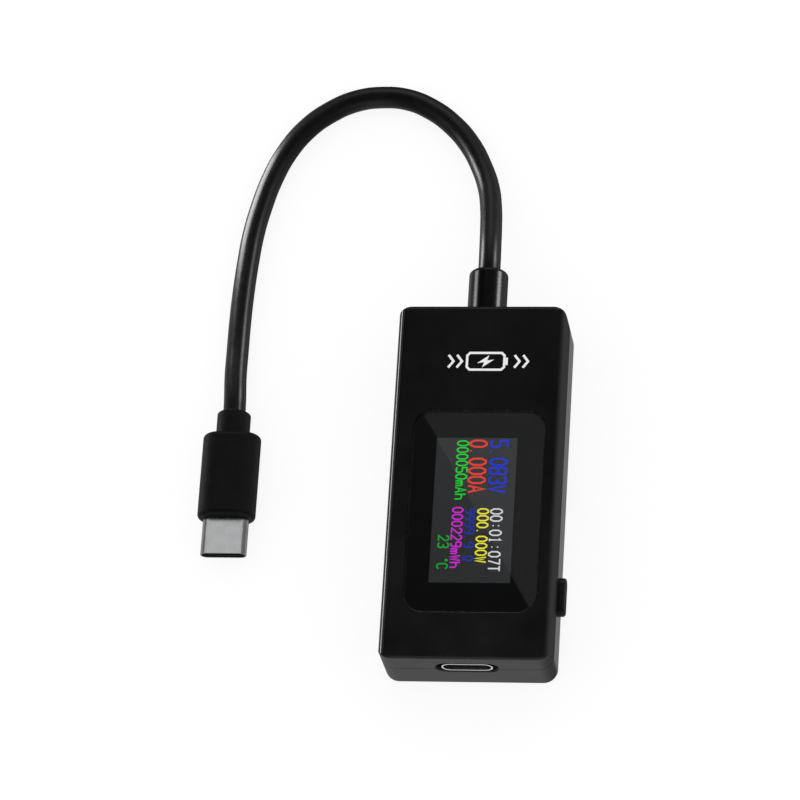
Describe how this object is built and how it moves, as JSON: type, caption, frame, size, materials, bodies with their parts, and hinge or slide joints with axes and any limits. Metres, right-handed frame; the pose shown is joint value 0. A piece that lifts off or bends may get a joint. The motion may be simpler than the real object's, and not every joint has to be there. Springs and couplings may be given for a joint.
{
  "type": "usb power meter",
  "caption": "Flat in-line USB power meter: a gloss black case with a colour display, a side button and a USB-C socket, and a short captive cord that ends in a USB-C plug.",
  "frame": {"origin": "centre of the case's flat back face, which lies on the table", "axes": "+X towards the side with the button, +Y along the case towards the end where the cord leaves, +Z out of the display face"},
  "size_m": [0.0664, 0.1146, 0.0132],
  "materials": {
    "case_gloss": "polished moulded black plastic",
    "window_clear": "clear tinted acrylic",
    "window_border": "black printed adhesive film",
    "lcd_surface": "dark display glass",
    "white_plastic": "white reflector plastic",
    "flex_film": "amber polyimide film",
    "foam": "grey closed-cell foam",
    "circuit_board": "green solder mask",
    "nickel_steel": "nickel-plated sheet steel",
    "contact_gold": "gold-plated contacts",
    "black_insulator": "black moulded insulator",
    "button_plastic": "satin black plastic",
    "plunger_plastic": "red-brown plastic",
    "chip_package": "black epoxy with tinned ends",
    "ceramic": "tan ceramic with tinned ends",
    "relief_rubber": "satin black elastomer",
    "cord_jacket": "smooth black jacket",
    "wire_red": "red insulation",
    "wire_black": "black insulation",
    "wire_white": "white insulation",
    "plug_rubber": "matte black elastomer"
  },
  "bodies": {
    "case": {"front_shell": "case_gloss", "back_shell": "case_gloss", "display_window": "window_clear", "window_mask": "window_border", "lcd_panel": "lcd_surface", "lcd_backlight": "white_plastic", "lcd_flex": "flex_film", "lcd_foam_pads": "foam", "main_board": "circuit_board", "socket_shell": "nickel_steel", "socket_tongue": "black_insulator", "socket_contacts": "contact_gold", "switch_body": "black_insulator", "switch_dome": "nickel_steel", "microcontroller": "chip_package", "shunt_resistor": "chip_package", "voltage_regulator": "chip_package", "chip_capacitors": "ceramic", "chip_resistors": "chip_package", "thermistor": "ceramic", "strain_relief": "relief_rubber", "cord_tail": "cord_jacket", "power_lead": "wire_red", "ground_lead": "wire_black", "signal_leads": "wire_white", "cord": "cord_jacket", "plug_overmold": "plug_rubber", "plug_shell": "nickel_steel", "plug_housing": "black_insulator", "plug_contacts": "contact_gold", "plug_latch_springs": "nickel_steel", "plug_board": "circuit_board"},
    "side_button": {"side_button": "button_plastic"},
    "switch_plunger": {"switch_plunger": "plunger_plastic"}
  },
  "joints": [
    {"name": "side_button_press", "type": "slide", "parent": "case", "child": "side_button", "axis": [-1, 0, 0], "range_m": [0, 0.00025], "stiffness_N_per_m": 500, "springref_m": -0.0005},
    {"name": "switch_plunger_press", "type": "slide", "parent": "case", "child": "switch_plunger", "axis": [-1, 0, 0], "range_m": [0, 0.00025], "deforming": ["switch_dome"]}
  ],
  "couplings": [
    {"joint": "switch_plunger_press", "follows": "side_button_press", "ratio": 1}
  ]
}
